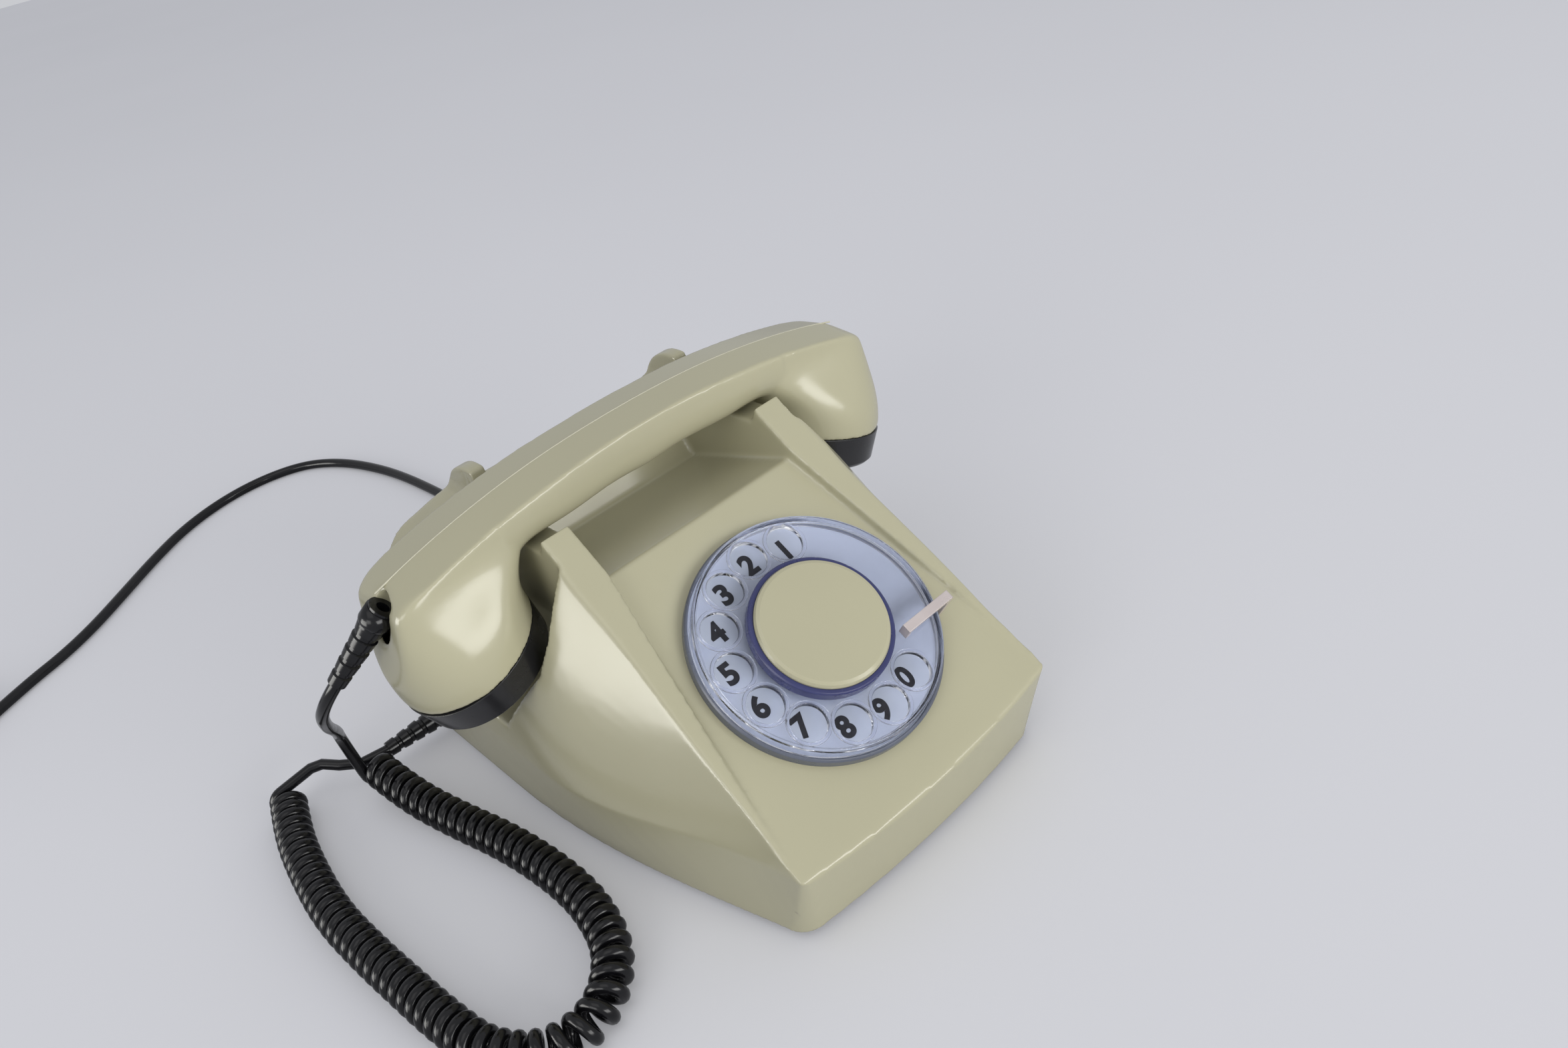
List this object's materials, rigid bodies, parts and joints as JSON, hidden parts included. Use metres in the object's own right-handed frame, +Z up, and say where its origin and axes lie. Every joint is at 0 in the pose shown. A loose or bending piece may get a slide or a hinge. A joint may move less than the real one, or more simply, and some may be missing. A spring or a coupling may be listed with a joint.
{
  "type": "cradle telephone",
  "caption": "Cradle telephone with a sloping dial panel, a handset resting on two posts, a curly handset cord and a line cord with a plug.",
  "frame": {"origin": "on the table, under the middle of the case and handset", "axes": "+X to the right of the phone along the handset, +Y to its back, +Z up"},
  "size_m": [0.4886, 0.5034, 0.1296],
  "materials": {
    "case": "satin",
    "base": "satin",
    "feet": "matte",
    "steel": "satin",
    "bezel": "gloss",
    "number_plate": "satin",
    "clear": "gloss",
    "collar": "gloss",
    "hub": "satin",
    "stop": "polished",
    "brass": "satin",
    "contacts": "matte",
    "plunger": "satin",
    "winding": "satin",
    "gong": "polished",
    "board": "satin",
    "can": "satin",
    "block": "satin",
    "black": "gloss",
    "capsule": "satin",
    "rubber": "satin"
  },
  "bodies": {
    "base": {"housing": "case", "base_plate": "base", "feet": "feet", "base_screws": "steel", "dial_bezel": "bezel", "number_plate": "number_plate", "finger_stop": "stop", "dial_front_plate": "steel", "dial_back_plate": "steel", "dial_pillars": "brass", "governor_cup": "steel", "spring_barrel": "steel", "impulse_contacts": "contacts", "hook_bracket": "steel", "hook_contacts": "contacts", "ringer_frame": "steel", "ringer_coils": "winding", "gong_left": "gong", "gong_right": "gong", "circuit_board": "board", "board_spacers": "brass", "induction_coil": "winding", "capacitor": "can", "terminal_block": "block", "curly_cord": "rubber", "base_lead": "rubber", "side_cord_relief": "rubber", "line_cord_gland": "rubber", "line_cord": "rubber", "line_cord_coil": "rubber", "plug_lead": "rubber", "wall_plug": "black", "plug_blade": "brass"},
    "dial": {"finger_wheel": "clear", "wheel_collar": "collar", "centre_disc": "case", "dial_hub": "hub", "dial_shaft": "steel", "main_wheel": "brass"},
    "governor": {"governor_spindle": "brass"},
    "handset": {"handset_shell": "case", "mouth_cap": "black", "ear_cap": "black", "transmitter_capsule": "capsule", "receiver_capsule": "capsule", "handset_relief": "rubber", "handset_lead": "rubber"},
    "left_plunger": {"plunger_left": "plunger"},
    "right_plunger": {"plunger_right": "plunger"},
    "yoke": {"hook_yoke": "steel"},
    "clapper": {"clapper": "steel"}
  },
  "joints": [
    {"name": "dial_spin", "type": "hinge", "parent": "base", "child": "dial", "pos_m": [0, -0.05577, 0.06497], "axis": [0, 0.5736, -0.8192], "range_deg": [0, 316], "stiffness_Nm_per_rad": 0.004},
    {"name": "governor_spin", "type": "hinge", "parent": "base", "child": "governor", "pos_m": [0, -0.07641, 0.05052], "axis": [0, 0.5736, -0.8192], "range_deg": [-1580, 0]},
    {"name": "handset_lift", "type": "slide", "parent": "base", "child": "handset", "axis": [0, 0, 1], "range_m": [0, 0.07], "deforming": ["handset_lead"]},
    {"name": "left_plunger_slide", "type": "slide", "parent": "base", "child": "left_plunger", "axis": [0, 0, 1], "range_m": [0, 0.004]},
    {"name": "right_plunger_slide", "type": "slide", "parent": "base", "child": "right_plunger", "axis": [0, 0, 1], "range_m": [0, 0.004]},
    {"name": "yoke_rock", "type": "hinge", "parent": "base", "child": "yoke", "pos_m": [0, 0.05, 0.074], "axis": [-1, 0, 0], "range_deg": [0, 7.11]},
    {"name": "clapper_swing", "type": "hinge", "parent": "base", "child": "clapper", "pos_m": [0, 0.062, 0.0325], "axis": [0, 0, 1], "range_deg": [-6, 6], "stiffness_Nm_per_rad": 0.0005}
  ],
  "couplings": [
    {"joint": "governor_spin", "follows": "dial_spin", "ratio": -5},
    {"joint": "left_plunger_slide", "follows": "handset_lift", "ratio": 0.057143},
    {"joint": "right_plunger_slide", "follows": "handset_lift", "ratio": 0.057143},
    {"joint": "yoke_rock", "follows": "handset_lift", "rad_per_m": 1.7703}
  ]
}
